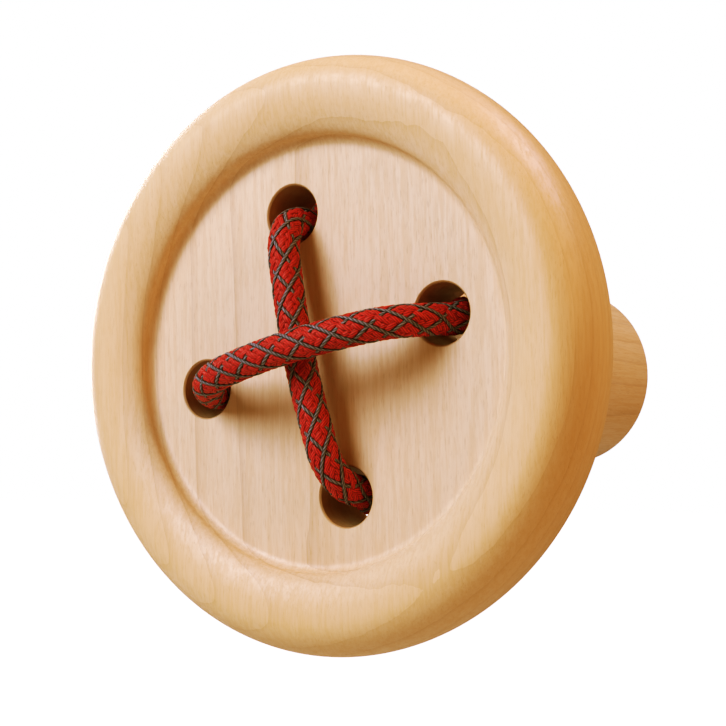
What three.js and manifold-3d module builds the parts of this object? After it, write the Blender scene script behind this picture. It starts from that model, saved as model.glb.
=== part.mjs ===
// Wall hook in the shape of a big sewing button, laced with one braided cord.
// Millimetres, +Z up. The wall is the plane y = 0 and the hook stands out towards -Y.
// The origin is the centre of the post's rear face, on the wall.

import * as THREE from 'three';
import { mergeVertices } from 'three/addons/utils/BufferGeometryUtils.js';
import Module from 'manifold-3d';

const wasm = await Module();
wasm.setup();

// --- driving dimensions -------------------------------------------------------------------------

const POST_LENGTH = 83;         // wall to the back of the button
const POST_RADIUS = 18.5;
const POST_EDGE = 0.8;          // small bevel around both ends of the post

const BUTTON_RADIUS = 50;
const RIM_HEIGHT = 17;          // back of the button to the crest of its rim
const FLOOR_HEIGHT = 12;        // back of the button to the sunken floor
const BELLY_HEIGHT = 9;         // back of the button to its widest circle
const CREST_RADIUS = 44;        // circle that the crest of the rim runs on
const FLOOR_RADIUS = 34.6;      // where the rim's inner slope meets the floor
const COVE_RADIUS = 1.6;        // hollow turned where slope and floor meet
const BACK_RADIUS = 45;         // flat back, inside the rounded back edge

const HOLE_RADIUS = 5;          // the four holes for the cord
const HOLE_PITCH_RADIUS = 24.2;
const HOLE_TURN = 13;           // degrees that the four holes are turned from upright
const HOLE_COUNT = 4;

const DOWEL_RADIUS = 5;         // dowel glued into button and post
const DOWEL_IN_BUTTON = 7.5;
const DOWEL_IN_POST = 21;
const DOWEL_FLUTES = 12;
const DOWEL_FLUTE_DEPTH = 0.5;
const DOWEL_FLUTE_CORNERS = 4;  // corners of the outline from one flute to the next
const DOWEL_BEVEL = 1;

const INSERT_RADIUS = 5;        // threaded insert in the post's rear end
const INSERT_LENGTH = 15;
const INSERT_FLANGE_RADIUS = 6.5;
const INSERT_FLANGE = 1.2;
const INSERT_BORE = 3.08;
const INSERT_BEVEL = 0.8;

const BOLT_RADIUS = 3;          // hanger bolt: machine thread in front, wood thread behind
const BOLT_FRONT = 20;
const BOLT_REAR = 29;
const BOLT_ROOT_RADIUS = 2.3;
const BOLT_TIP = 6;
const BOLT_POINT_RADIUS = 0.4;
const BOLT_BEVEL = 1;
const BOLT_ROOM = 2;            // depth left free past the bolt's front end

const PLUG_RADIUS = 4;          // expansion plug around the wood thread
const PLUG_BORE = 3.15;
const PLUG_LENGTH = 31;
const PLUG_RIM_RADIUS = 5;
const PLUG_RIM = 1;
const PLUG_SLOT_WIDTH = 1;
const PLUG_SLOT_START = 7;
const PLUG_SLOT_END = 25;
const PLUG_RIB_STEP = 4;
const PLUG_RIB_DEPTH = 0.3;
const PLUG_RIB_LEDGE = 0.2;
const PLUG_END_LENGTH = 2;      // taper at the plug's far end
const PLUG_END_DEPTH = 0.5;

const CORD_RADIUS = 2.8;
const CORD_SIDES = 10;
const CORD_STEPS = 80;
const TAIL_STEPS = 8;

const GAP = 0.3;                // clearance where two separate pieces meet
const WALL_GAP = 0.2;           // clearance between the plug's rim and the post's rear face
const OVERSHOOT = 1;            // how far a drill runs past the face it starts from
const LATHE_STEPS = 64;
const FINE_STEPS = 32;
const COVE_STEPS = 4;
const RIM_STEPS = 7;
const BACK_STEPS = 6;

// --- routes of the cord, point by point ---------------------------------------------------------

// From the knot through the upper hole, across the front under the other run, down through the
// lower hole, round behind the post, out of the right hole, across the front and back to the knot.
const LACING_ROUTE = [
  [-14.6, -77.8, 26.4], [-11.4, -78.8, 25.4], [-8.5, -80.0, 24.4], [-6.2, -83.5, 23.4],
  [-5.2, -87.3, 22.7], [-4.7, -91.2, 22.2], [-4.5, -94.4, 22.2], [-4.4, -97.6, 20.8],
  [-3.8, -99.6, 17.6], [-2.8, -100.1, 12.2], [-1.4, -100.6, 6.1], [0.0, -100.7, 0.0],
  [1.5, -100.6, -6.1], [3.1, -100.1, -12.2], [4.5, -99.4, -17.5], [5.5, -97.3, -20.7],
  [6.0, -94.4, -22.3], [6.8, -91.4, -22.9], [5.4, -87.2, -24.2], [6.4, -83.6, -23.9],
  [8.6, -80.2, -23.1], [11.4, -79.2, -21.3], [14.9, -79.0, -17.4], [18.5, -79.0, -11.9],
  [21.0, -79.0, -6.2], [22.4, -79.3, -1.0], [23.5, -80.4, 2.4], [23.6, -83.6, 5.1],
  [23.3, -87.2, 6.1], [24.4, -91.4, 4.9], [22.9, -94.6, 4.6], [21.3, -98.2, 4.3],
  [18.0, -101.8, 3.8], [13.0, -104.6, 2.7], [6.6, -106.1, 1.3], [0.0, -106.6, -0.2],
  [-6.6, -106.1, -1.8], [-13.0, -104.6, -3.4], [-17.6, -101.8, -4.7], [-20.5, -98.2, -5.6],
  [-22.1, -94.6, -6.2], [-22.4, -91.2, -6.3], [-22.8, -87.3, -6.0], [-24.0, -83.6, -5.0],
  [-26.0, -79.8, -2.9], [-27.8, -78.6, -0.9], [-30.0, -77.8, 1.6],
];
// The two short ends that stand out of the knot.
const UPPER_TAIL_ROUTE = [
  [-19.4, -76.4, 29.8], [-17.6, -75.6, 33.0], [-14.9, -75.2, 36.2], [-11.4, -75.4, 38.8],
];
const LOWER_TAIL_ROUTE = [
  [-35.3, -76.4, 4.4], [-37.4, -75.6, 1.2], [-39.0, -75.2, -2.6], [-39.9, -75.4, -6.8],
];
const KNOT_CENTRE = [-25.0, -76.8, 15.6];
const KNOT_HALF_SIZES = [12, 5.3, 10.4];    // along the cord, off the button, away from the post
const KNOT_TURN = -58;          // degrees about Y that lay the knot along the cord
const KNOT_SIDES = 20;
const KNOT_RINGS = 12;

// --- helpers ------------------------------------------------------------------------------------

const material = (color, roughness, metalness = 0) =>
  new THREE.MeshStandardMaterial({ color, roughness, metalness });

const maple = material('#e2b983', 0.55);
const beech = material('#c99a66', 0.65);
const redCord = material('#a8191d', 0.85);
const brass = material('#b08d46', 0.35, 1);
const zincSteel = material('#a9adb0', 0.35, 1);
const greyNylon = material('#8c8f91', 0.6);

// A closed three.js geometry as a manifold solid: only positions are kept and welded.
function solidOf(geometry) {
  const bare = new THREE.BufferGeometry();
  bare.setAttribute('position', geometry.getAttribute('position'));
  bare.setIndex(geometry.getIndex());
  const welded = mergeVertices(bare, 1e-4);
  const index = welded.getIndex().array;
  const triangles = [];
  for (let i = 0; i < index.length; i += 3) {
    const [a, b, c] = index.slice(i, i + 3);
    if (a !== b && b !== c && c !== a) triangles.push(a, b, c);
  }
  return new wasm.Manifold(new wasm.Mesh({
    numProp: 3,
    vertProperties: new Float32Array(welded.getAttribute('position').array),
    triVerts: new Uint32Array(triangles),
  }));
}

function geometryOf(solid) {
  const mesh = solid.getMesh();
  const geometry = new THREE.BufferGeometry();
  geometry.setAttribute('position', new THREE.BufferAttribute(mesh.vertProperties, 3));
  geometry.setIndex(new THREE.BufferAttribute(mesh.triVerts, 1));
  geometry.computeVertexNormals();
  return geometry;
}

function piece(name, solid, finish) {
  const mesh = new THREE.Mesh(geometryOf(solid), finish);
  mesh.name = name;
  return mesh;
}

// A body turned around the Y axis from [radius, y] points that run from low y to high y.
function turned(points, steps = LATHE_STEPS) {
  const profile = points.map(([radius, y]) => new THREE.Vector2(radius, y));
  return solidOf(new THREE.LatheGeometry(profile, steps));
}

// A quarter of an ellipse around (r, y), from angle to angle in quarter turns.
function ellipseArc(r, y, width, height, from, to, count) {
  return Array.from({ length: count + 1 }, (_, i) => {
    const angle = (from + (to - from) * i / count) * Math.PI / 2;
    return [r + width * Math.cos(angle), y + height * Math.sin(angle)];
  });
}

// A plain cylinder along Y, used for drilling.
function drill(radius, fromY, toY, steps = FINE_STEPS) {
  return turned([[0, fromY], [radius, fromY], [radius, toY], [0, toY]], steps);
}

function tube(route, steps) {
  const curve = new THREE.CatmullRomCurve3(route.map((point) => new THREE.Vector3(...point)));
  const section = new THREE.Shape();
  for (let i = 0; i < CORD_SIDES; i += 1) {
    const angle = i / CORD_SIDES * Math.PI * 2;
    const corner = [CORD_RADIUS * Math.cos(angle), CORD_RADIUS * Math.sin(angle)];
    if (i === 0) section.moveTo(...corner);
    else section.lineTo(...corner);
  }
  section.closePath();
  return solidOf(new THREE.ExtrudeGeometry(section, { steps, extrudePath: curve, bevelEnabled: false }));
}

// --- the wooden pieces --------------------------------------------------------------------------

const BUTTON_BACK = -POST_LENGTH;
const BUTTON_FLOOR = BUTTON_BACK - FLOOR_HEIGHT;
const BUTTON_FRONT = BUTTON_BACK - RIM_HEIGHT;
const BUTTON_BELLY = BUTTON_BACK - BELLY_HEIGHT;

function buttonDisc() {
  const slopeFoot = FLOOR_RADIUS + COVE_RADIUS;
  const profile = [
    [0, BUTTON_FLOOR],
    // Hollow cove at the foot of the rim.
    ...ellipseArc(FLOOR_RADIUS, BUTTON_FLOOR - COVE_RADIUS, COVE_RADIUS, COVE_RADIUS, 1, 0,
      COVE_STEPS),
    // Inner slope up to the crest, then down the outside to the belly and the back.
    ...ellipseArc(CREST_RADIUS, BUTTON_FLOOR - COVE_RADIUS, slopeFoot - CREST_RADIUS,
      BUTTON_FRONT - BUTTON_FLOOR + COVE_RADIUS, 0, 1, RIM_STEPS).slice(1),
    ...ellipseArc(CREST_RADIUS, BUTTON_BELLY, BUTTON_RADIUS - CREST_RADIUS,
      BUTTON_FRONT - BUTTON_BELLY, 1, 0, RIM_STEPS).slice(1),
    ...ellipseArc(BACK_RADIUS, BUTTON_BELLY, BUTTON_RADIUS - BACK_RADIUS, BELLY_HEIGHT, 0, 1,
      BACK_STEPS).slice(1),
    [0, BUTTON_BACK],
  ];
  let body = turned(profile);
  for (let i = 0; i < HOLE_COUNT; i += 1) {
    const angle = (HOLE_TURN + 360 / HOLE_COUNT * i) * Math.PI / 180;
    const hole = drill(HOLE_RADIUS, BUTTON_FRONT, BUTTON_BACK + OVERSHOOT)
      .translate([HOLE_PITCH_RADIUS * Math.cos(angle), 0, HOLE_PITCH_RADIUS * Math.sin(angle)]);
    body = body.subtract(hole);
  }
  const dowelSocket = drill(DOWEL_RADIUS + GAP, BUTTON_BACK - DOWEL_IN_BUTTON - GAP,
    BUTTON_BACK + OVERSHOOT);
  return body.subtract(dowelSocket);
}

function post() {
  const front = BUTTON_BACK + GAP;
  const body = turned([
    [0, front], [POST_RADIUS - POST_EDGE, front], [POST_RADIUS, front + POST_EDGE],
    [POST_RADIUS, -POST_EDGE], [POST_RADIUS - POST_EDGE, 0], [0, 0],
  ]);
  return body
    .subtract(drill(DOWEL_RADIUS + GAP, front - OVERSHOOT, BUTTON_BACK + DOWEL_IN_POST + GAP))
    .subtract(drill(INSERT_RADIUS + GAP, -INSERT_LENGTH - GAP, OVERSHOOT))
    .subtract(drill(INSERT_FLANGE_RADIUS + GAP, -INSERT_FLANGE - GAP, OVERSHOOT))
    .subtract(drill(BOLT_RADIUS + GAP, -BOLT_FRONT - BOLT_ROOM, 0));
}

// A fluted dowel: one outline with rounded grooves, extruded along Y with bevelled ends.
function jointDowel() {
  const outline = new THREE.Shape();
  const corners = DOWEL_FLUTES * DOWEL_FLUTE_CORNERS;
  for (let i = 0; i < corners; i += 1) {
    const angle = i / corners * Math.PI * 2;
    const groove = i % DOWEL_FLUTE_CORNERS === 0 ? DOWEL_FLUTE_DEPTH : 0;
    const radius = DOWEL_RADIUS - groove;
    const corner = [radius * Math.cos(angle), radius * Math.sin(angle)];
    if (i === 0) outline.moveTo(...corner);
    else outline.lineTo(...corner);
  }
  outline.closePath();
  const length = DOWEL_IN_BUTTON + DOWEL_IN_POST;
  const geometry = new THREE.ExtrudeGeometry(outline, { depth: length, bevelEnabled: false });
  geometry.rotateX(-Math.PI / 2).translate(0, BUTTON_BACK - DOWEL_IN_BUTTON, 0);
  const start = BUTTON_BACK - DOWEL_IN_BUTTON;
  const end = start + length;
  const blank = turned([
    [0, start], [DOWEL_RADIUS - DOWEL_BEVEL, start],
    [DOWEL_RADIUS + DOWEL_BEVEL, start + DOWEL_BEVEL * 2],
    [DOWEL_RADIUS + DOWEL_BEVEL, end - DOWEL_BEVEL * 2],
    [DOWEL_RADIUS - DOWEL_BEVEL, end], [0, end],
  ], FINE_STEPS);
  return solidOf(geometry).intersect(blank);
}

// --- the cord -----------------------------------------------------------------------------------

// The knot as one plain rounded body.
function cordKnot() {
  return solidOf(new THREE.SphereGeometry(1, KNOT_SIDES, KNOT_RINGS)
    .scale(...KNOT_HALF_SIZES)
    .rotateY(THREE.MathUtils.degToRad(KNOT_TURN))
    .translate(...KNOT_CENTRE));
}

// --- the wall fixing ----------------------------------------------------------------------------

function threadedInsert() {
  return turned([
    [INSERT_BORE, -INSERT_LENGTH], [INSERT_RADIUS - INSERT_BEVEL, -INSERT_LENGTH],
    [INSERT_RADIUS, -INSERT_LENGTH + INSERT_BEVEL], [INSERT_RADIUS, -INSERT_FLANGE],
    [INSERT_FLANGE_RADIUS, -INSERT_FLANGE], [INSERT_FLANGE_RADIUS, 0],
    [INSERT_BORE, 0], [INSERT_BORE, -INSERT_LENGTH],
  ], FINE_STEPS);
}

function hangerBolt() {
  return turned([
    [0, -BOLT_FRONT], [BOLT_ROOT_RADIUS, -BOLT_FRONT], [BOLT_RADIUS, -BOLT_FRONT + BOLT_BEVEL],
    [BOLT_RADIUS, BOLT_REAR - BOLT_TIP], [BOLT_POINT_RADIUS, BOLT_REAR], [0, BOLT_REAR],
  ], FINE_STEPS);
}

// The plug's sleeve with ring-shaped ribs, split on two sides so that it can spread.
function wallPlug() {
  const ribs = [];
  for (let y = PLUG_SLOT_START; y < PLUG_SLOT_END; y += PLUG_RIB_STEP) {
    ribs.push([PLUG_RADIUS, y], [PLUG_RADIUS - PLUG_RIB_DEPTH, y + PLUG_RIB_LEDGE]);
  }
  const sleeve = turned([
    [PLUG_BORE, WALL_GAP], [PLUG_RIM_RADIUS, WALL_GAP], [PLUG_RIM_RADIUS, WALL_GAP + PLUG_RIM],
    [PLUG_RADIUS, WALL_GAP + PLUG_RIM], ...ribs, [PLUG_RADIUS, PLUG_SLOT_END],
    [PLUG_RADIUS, PLUG_LENGTH - PLUG_END_LENGTH], [PLUG_RADIUS - PLUG_END_DEPTH, PLUG_LENGTH],
    [PLUG_BORE, PLUG_LENGTH], [PLUG_BORE, WALL_GAP],
  ], FINE_STEPS);
  const slotLength = PLUG_SLOT_END - PLUG_SLOT_START;
  const slot = solidOf(new THREE.BoxGeometry(PLUG_SLOT_WIDTH, slotLength, PLUG_RIM_RADIUS * 2)
    .translate(0, (PLUG_SLOT_START + PLUG_SLOT_END) / 2, 0));
  return sleeve.subtract(slot);
}

// --- the assembly -------------------------------------------------------------------------------

const hook = new THREE.Group();
hook.add(
  piece('button_disc', buttonDisc(), maple),
  piece('post', post(), maple),
  piece('joint_dowel', jointDowel(), beech),
  piece('lacing_cord', tube(LACING_ROUTE, CORD_STEPS), redCord),
  piece('cord_knot', cordKnot(), redCord),
  piece('cord_tail_upper', tube(UPPER_TAIL_ROUTE, TAIL_STEPS), redCord),
  piece('cord_tail_lower', tube(LOWER_TAIL_ROUTE, TAIL_STEPS), redCord),
  piece('threaded_insert', threadedInsert(), brass),
);

const fixing = new THREE.Group();
fixing.add(
  piece('hanger_bolt', hangerBolt(), zincSteel),
  piece('wall_plug', wallPlug(), greyNylon),
);

const wallHook = new THREE.Group();
wallHook.add(hook, fixing);

export default wallHook;
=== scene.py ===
# %% [markdown]
# # A button-shaped wall hook
#
# The hook is a very large wooden sewing button glued on a thick round post. One braided cord is laced
# through the button's four holes in a cross and tied behind it. The post hides a brass insert, and a
# hanger bolt in a nylon plug holds it to the wall. The wall is the plane y = 0, and the button faces -Y.

import math

import bpy
import numpy as np
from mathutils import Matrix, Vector


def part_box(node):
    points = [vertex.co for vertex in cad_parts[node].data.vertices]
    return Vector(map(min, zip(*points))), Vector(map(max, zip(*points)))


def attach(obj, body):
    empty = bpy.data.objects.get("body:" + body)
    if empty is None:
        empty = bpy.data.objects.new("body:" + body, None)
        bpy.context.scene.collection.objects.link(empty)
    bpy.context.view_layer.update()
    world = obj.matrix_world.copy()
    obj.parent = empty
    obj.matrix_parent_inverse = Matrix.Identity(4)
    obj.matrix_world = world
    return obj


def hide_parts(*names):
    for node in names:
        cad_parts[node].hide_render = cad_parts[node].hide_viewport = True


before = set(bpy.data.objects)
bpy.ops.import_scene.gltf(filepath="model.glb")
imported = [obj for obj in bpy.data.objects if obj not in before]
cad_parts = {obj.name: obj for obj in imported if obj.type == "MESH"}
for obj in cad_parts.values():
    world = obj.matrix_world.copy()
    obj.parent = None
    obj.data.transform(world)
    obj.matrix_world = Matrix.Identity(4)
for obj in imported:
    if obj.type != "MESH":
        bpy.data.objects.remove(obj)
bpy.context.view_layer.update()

# %% [markdown]
# All sizes are in metres. The outer sizes come from the frame; the turner's own sizes, which the box of
# a piece doesn't tell, are written down here once.

# %% Sizes of the wooden pieces
MM = 0.001
disc_low, disc_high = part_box("button_disc")
post_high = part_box("post")[1]

BUTTON_RADIUS = disc_high.x
BUTTON_FRONT = disc_low.y
BUTTON_BACK = disc_high.y
POST_RADIUS = post_high.x

FLOOR = BUTTON_BACK - 12 * MM
BELLY = BUTTON_BACK - 9 * MM
CREST_RADIUS = 44 * MM
FLOOR_RADIUS = 34.6 * MM
COVE_RADIUS = 1.6 * MM
BACK_RADIUS = 45 * MM

HOLE_RADIUS = 5 * MM
HOLE_PITCH_RADIUS = 24.2 * MM
HOLE_TURN = math.radians(13)
HOLE_COUNT = 4
HOLE_EASE = 0.3 * MM

print("button radius", round(BUTTON_RADIUS, 4), "thickness", round(BUTTON_BACK - BUTTON_FRONT, 4))
print("post radius", round(POST_RADIUS, 4), "length", round(post_high.y - BUTTON_BACK, 4))

# %% [markdown]
# ## The camera
#
# The camera stands in front of the hook, to its right and a little below its middle, so that the post
# shows past the button's right edge. It is close, and a long lens keeps the button nearly round.

# %% Set the camera
CAMERA_AZIMUTH = math.radians(33.3)
CAMERA_ELEVATION = math.radians(-3.6)
CAMERA_DISTANCE = 0.2684
CAMERA_LENS = 77.4
AIM_SIDE = 0.98 * MM
AIM_DOWN = 1.04 * MM

back_centre = Vector((0, BUTTON_BACK, 0))
sight = Vector((
    math.sin(CAMERA_AZIMUTH) * math.cos(CAMERA_ELEVATION),
    -math.cos(CAMERA_AZIMUTH) * math.cos(CAMERA_ELEVATION),
    math.sin(CAMERA_ELEVATION),
))
camera_place = back_centre + sight * CAMERA_DISTANCE
camera_aim = back_centre + Vector((AIM_SIDE, 0, -AIM_DOWN))

bpy.ops.object.camera_add(location=camera_place)
camera = bpy.context.object
camera.name = "camera"
camera.data.lens = CAMERA_LENS
camera.data.clip_start = 0.01
camera.rotation_euler = (camera_aim - camera_place).to_track_quat("-Z", "Y").to_euler()
bpy.context.scene.camera = camera
print("camera at", [round(value, 3) for value in camera_place])

# %% [markdown]
# ## The route of the cord
#
# The cord is one piece from end to end. It starts at its upper tail, goes through the knot, down into
# the upper hole, across the front under the other run, back through the lower hole, round behind the
# post, out of the right hole, across the front, in at the left hole and through the knot again.
# The points are in millimetres and given one by one, because a cord that is laced by hand follows no
# formula.

# %% Write down the cord's points
LACING_ROUTE = [
    (-14.6, -77.8, 26.4), (-11.4, -78.8, 25.4), (-8.5, -80.0, 24.4), (-6.2, -83.5, 23.4),
    (-5.2, -87.3, 22.7), (-4.7, -91.2, 22.2), (-4.5, -94.4, 22.2), (-4.4, -97.6, 20.8),
    (-3.8, -99.6, 17.6), (-2.8, -100.1, 12.2), (-1.4, -100.6, 6.1), (0.0, -100.7, 0.0),
    (1.5, -100.6, -6.1), (3.1, -100.1, -12.2), (4.5, -99.4, -17.5), (5.5, -97.3, -20.7),
    (6.0, -94.4, -22.3), (6.8, -91.4, -22.9), (5.4, -87.2, -24.2), (6.4, -83.6, -23.9),
    (8.6, -80.2, -23.1), (11.4, -79.2, -21.3), (14.9, -79.0, -17.4), (18.5, -79.0, -11.9),
    (21.0, -79.0, -6.2), (22.4, -79.3, -1.0), (23.5, -80.4, 2.4), (23.6, -83.6, 5.1),
    (23.3, -87.2, 6.1), (24.4, -91.4, 4.9), (22.9, -94.6, 4.6), (21.3, -98.2, 4.3),
    (18.0, -101.8, 3.8), (13.0, -104.6, 2.7), (6.6, -106.1, 1.3), (0.0, -106.6, -0.2),
    (-6.6, -106.1, -1.8), (-13.0, -104.6, -3.4), (-17.6, -101.8, -4.7), (-20.5, -98.2, -5.6),
    (-22.1, -94.6, -6.2), (-22.4, -91.2, -6.3), (-22.8, -87.3, -6.0), (-24.0, -83.6, -5.0),
    (-26.0, -79.8, -2.9), (-27.8, -78.6, -0.9), (-30.0, -77.8, 1.6),
]
UPPER_TAIL_ROUTE = [
    (-19.4, -76.4, 29.8), (-17.6, -75.6, 33.0), (-14.9, -75.2, 36.2), (-11.4, -75.4, 38.8),
]
LOWER_TAIL_ROUTE = [
    (-35.3, -76.4, 4.4), (-37.4, -75.6, 1.2), (-39.0, -75.2, -2.6), (-39.9, -75.4, -6.8),
]

# Half of a reef knot: one bight, as (along the knot, away from the post, off the button).
KNOT_CENTRE = (-25.0, -76.8, 15.6)
KNOT_ALONG = (0.530, 0.848)
KNOT_BIGHT = [
    (-8.0, -2.9, -2.8), (0.0, -4.9, 2.8), (6.0, -7.0, 0.0), (10.5, -4.0, -2.8), (11.5, 0.0, -2.8),
    (10.5, 4.0, -2.8), (6.0, 7.0, 0.0), (0.0, 4.9, 2.8), (-8.0, 2.9, -2.8),
]


def knot_point(along, away, off):
    """A point of the knot in the hook's frame."""
    x, y, z = KNOT_CENTRE
    along_x, along_z = KNOT_ALONG
    return (x + along * along_x - away * along_z, y + off, z + along * along_z + away * along_x)


# The second bight is the first one turned half round about the knot's away direction.
first_bight = [knot_point(*point) for point in KNOT_BIGHT]
second_bight = [knot_point(-along, away, -off) for along, away, off in KNOT_BIGHT]
whole_route = (
    UPPER_TAIL_ROUTE[::-1] + second_bight[::-1] + LACING_ROUTE + first_bight + LOWER_TAIL_ROUTE
)
print("points on the route", len(whole_route))

# %% [markdown]
# A curve object would also run through the points, but the yarns need evenly spaced places and side
# directions that don't spin round the cord. The centripetal kind of Catmull-Rom curve is used because
# it makes no loops where two points lie close together.

# %% Run a smooth curve through the points
SAMPLES_PER_SPAN = 16


def smooth_route(points, step):
    """Points a step apart on a centripetal Catmull-Rom curve through the given points."""
    given = np.array(points) * MM
    ends = np.vstack([2 * given[0] - given[1], given, 2 * given[-1] - given[-2]])
    fine = []
    for p0, p1, p2, p3 in zip(ends, ends[1:], ends[2:], ends[3:]):
        t0 = 0.0
        t1 = t0 + np.sqrt(np.linalg.norm(p1 - p0))
        t2 = t1 + np.sqrt(np.linalg.norm(p2 - p1))
        t3 = t2 + np.sqrt(np.linalg.norm(p3 - p2))
        t = np.linspace(t1, t2, SAMPLES_PER_SPAN, endpoint=False)[:, None]
        a1 = (t1 - t) / (t1 - t0) * p0 + (t - t0) / (t1 - t0) * p1
        a2 = (t2 - t) / (t2 - t1) * p1 + (t - t1) / (t2 - t1) * p2
        a3 = (t3 - t) / (t3 - t2) * p2 + (t - t2) / (t3 - t2) * p3
        b1 = (t2 - t) / (t2 - t0) * a1 + (t - t0) / (t2 - t0) * a2
        b2 = (t3 - t) / (t3 - t1) * a2 + (t - t1) / (t3 - t1) * a3
        fine.append((t2 - t) / (t2 - t1) * b1 + (t - t1) / (t2 - t1) * b2)
    fine = np.vstack(fine + [given[-1:]])
    run = np.append(0, np.cumsum(np.linalg.norm(np.diff(fine, axis=0), axis=1)))
    places = np.linspace(0, run[-1], int(round(run[-1] / step)) + 1)
    return np.stack([np.interp(places, run, fine[:, axis]) for axis in range(3)], axis=1), places


def untwisted_frames(route):
    """Two side directions that follow the route without turning about it."""
    tangents = np.gradient(route, axis=0)
    tangents /= np.linalg.norm(tangents, axis=1)[:, None]
    sides = np.zeros_like(tangents)
    side = np.cross(tangents[0], (0, 1, 0))
    for i, tangent in enumerate(tangents):
        side = side - tangent * (side @ tangent)
        side /= np.linalg.norm(side)
        sides[i] = side
    return sides, np.cross(tangents, sides)


CORD_STEP = 0.55 * MM
cord_route, cord_run = smooth_route(whole_route, CORD_STEP)
cord_side, cord_up = untwisted_frames(cord_route)
print("cord length", round(float(cord_run[-1]), 4), "m in", len(cord_route), "rings")

# %% [markdown]
# ## The braid
#
# The cord has a core and a sleeve of 32 yarns. Sixteen run round it one way and sixteen the other, each
# over two and under two, which gives the herringbone. Every fourth yarn is a thin grey tracer that
# floats over the red ones, so the tracers cross in a lattice of long lines; those of one direction dive
# under a red yarn in every other mesh of that lattice. A picture of a braid could be painted on a
# tube, but the outline and the light would stay those of a tube, so every yarn is made as a flat
# strand that weaves in and out.

# %% Make closed strands from rings of points
UV_LENGTH = 10 * MM          # this much of a strand is one unit of its UV map


def strand_mesh(name, strands):
    """One mesh of closed strands. A strand is an array of rings of points, and its UVs run along it."""
    points, faces, uvs, start = [], [], [], 0
    for rings in strands:
        count, sides = rings.shape[:2]
        middle = rings.mean(axis=1)
        along = np.append(0, np.cumsum(np.linalg.norm(np.diff(middle, axis=0), axis=1))) / UV_LENGTH
        points.append(rings.reshape(-1, 3))
        for ring in range(count - 1):
            for side in range(sides):
                near, far = start + ring * sides, start + (ring + 1) * sides
                other = (side + 1) % sides
                faces.append((near + side, near + other, far + other, far + side))
                low, high = side / sides, (side + 1) / sides
                uvs += [(along[ring], low), (along[ring], high), (along[ring + 1], high),
                        (along[ring + 1], low)]
        for ring, order in ((0, -1), (count - 1, 1)):
            faces.append([start + ring * sides + side for side in range(sides)][::order])
            uvs += [(along[ring], side / sides) for side in range(sides)][::order]
        start += count * sides
    mesh = bpy.data.meshes.new(name)
    mesh.from_pydata(np.vstack(points).tolist(), [], faces)
    layer = mesh.uv_layers.new(name="along_yarn")
    layer.data.foreach_set("uv", np.array(uvs, dtype=np.float32).ravel())
    mesh.polygons.foreach_set("use_smooth", [True] * len(mesh.polygons))
    obj = bpy.data.objects.new(name, mesh)
    bpy.context.collection.objects.link(obj)
    return obj


# %% [markdown]
# The cut ends of such a cord are sealed with a flame, which draws the yarns in to a round shoulder
# with a small flat face.

# %% Draw in the sealed ends
SEALED_LENGTH = 1.8 * MM
SEALED_FACE = 0.08           # where on the shoulder the flat face cuts it off, as a share of its length


def end_taper(run):
    """1 along the cord, falling in a round shoulder at both ends."""
    from_end = np.minimum(run, run[-1] - run)
    return np.sqrt(1 - (1 - np.clip(from_end / SEALED_LENGTH, SEALED_FACE, 1)) ** 2)


cord_taper = end_taper(cord_run)
print("the ends are drawn in to", round(float(cord_taper[0]), 2), "of the full thickness")

# %% [markdown]
# One rule says which of two yarns lies on top where they cross, and each yarn's height follows from
# it. A braid needs no more: the herringbone and the lattice of tracers both come out of the rule.

# %% Weave the yarns
CORD_RADIUS = 2.7 * MM       # the frame's plain cord is 0.1 mm larger all round
YARNS_EACH_WAY = 16
YARNS_OVER = 2
GREY_EVERY = 4
DIVE_PLACE = 2               # counted in crossings from a corner of the tracers' lattice
BRAID_LEAD = 21.5 * MM       # length in which a yarn goes once round the cord
YARN_THICKNESS = 0.46 * MM
YARN_WEAVE = 0.17 * MM
YARN_SIDES = 8
RED_WIDTH = 1.0 * MM
GREY_WIDTH = 0.62 * MM


def goes_over(right_yarn, left_yarn):
    """Whether the right-turning yarn lies over the left-turning one where the two cross."""
    right_is_grey, left_is_grey = right_yarn % GREY_EVERY == 0, left_yarn % GREY_EVERY == 0
    if right_is_grey == left_is_grey:
        return (right_yarn + left_yarn) % (2 * YARNS_OVER) < YARNS_OVER
    return right_is_grey or (right_yarn + left_yarn) % (2 * GREY_EVERY) == DIVE_PLACE


def yarn_rise(index, way):
    """How far up (1) or down (-1) the yarn lies in the weave, ring by ring."""
    crossings = cord_run / BRAID_LEAD * 2 * YARNS_EACH_WAY
    heights = []
    for crossing in range(int(crossings[-1]) + 2):
        other = index + way * crossing
        over = goes_over(index, other) if way == 1 else not goes_over(other, index)
        heights.append(1.0 if over else -1.0)
    before = np.floor(crossings).astype(int)
    part = crossings - before
    part = part * part * (3 - 2 * part)
    heights = np.array(heights)
    return heights[before] * (1 - part) + heights[before + 1] * part


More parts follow.
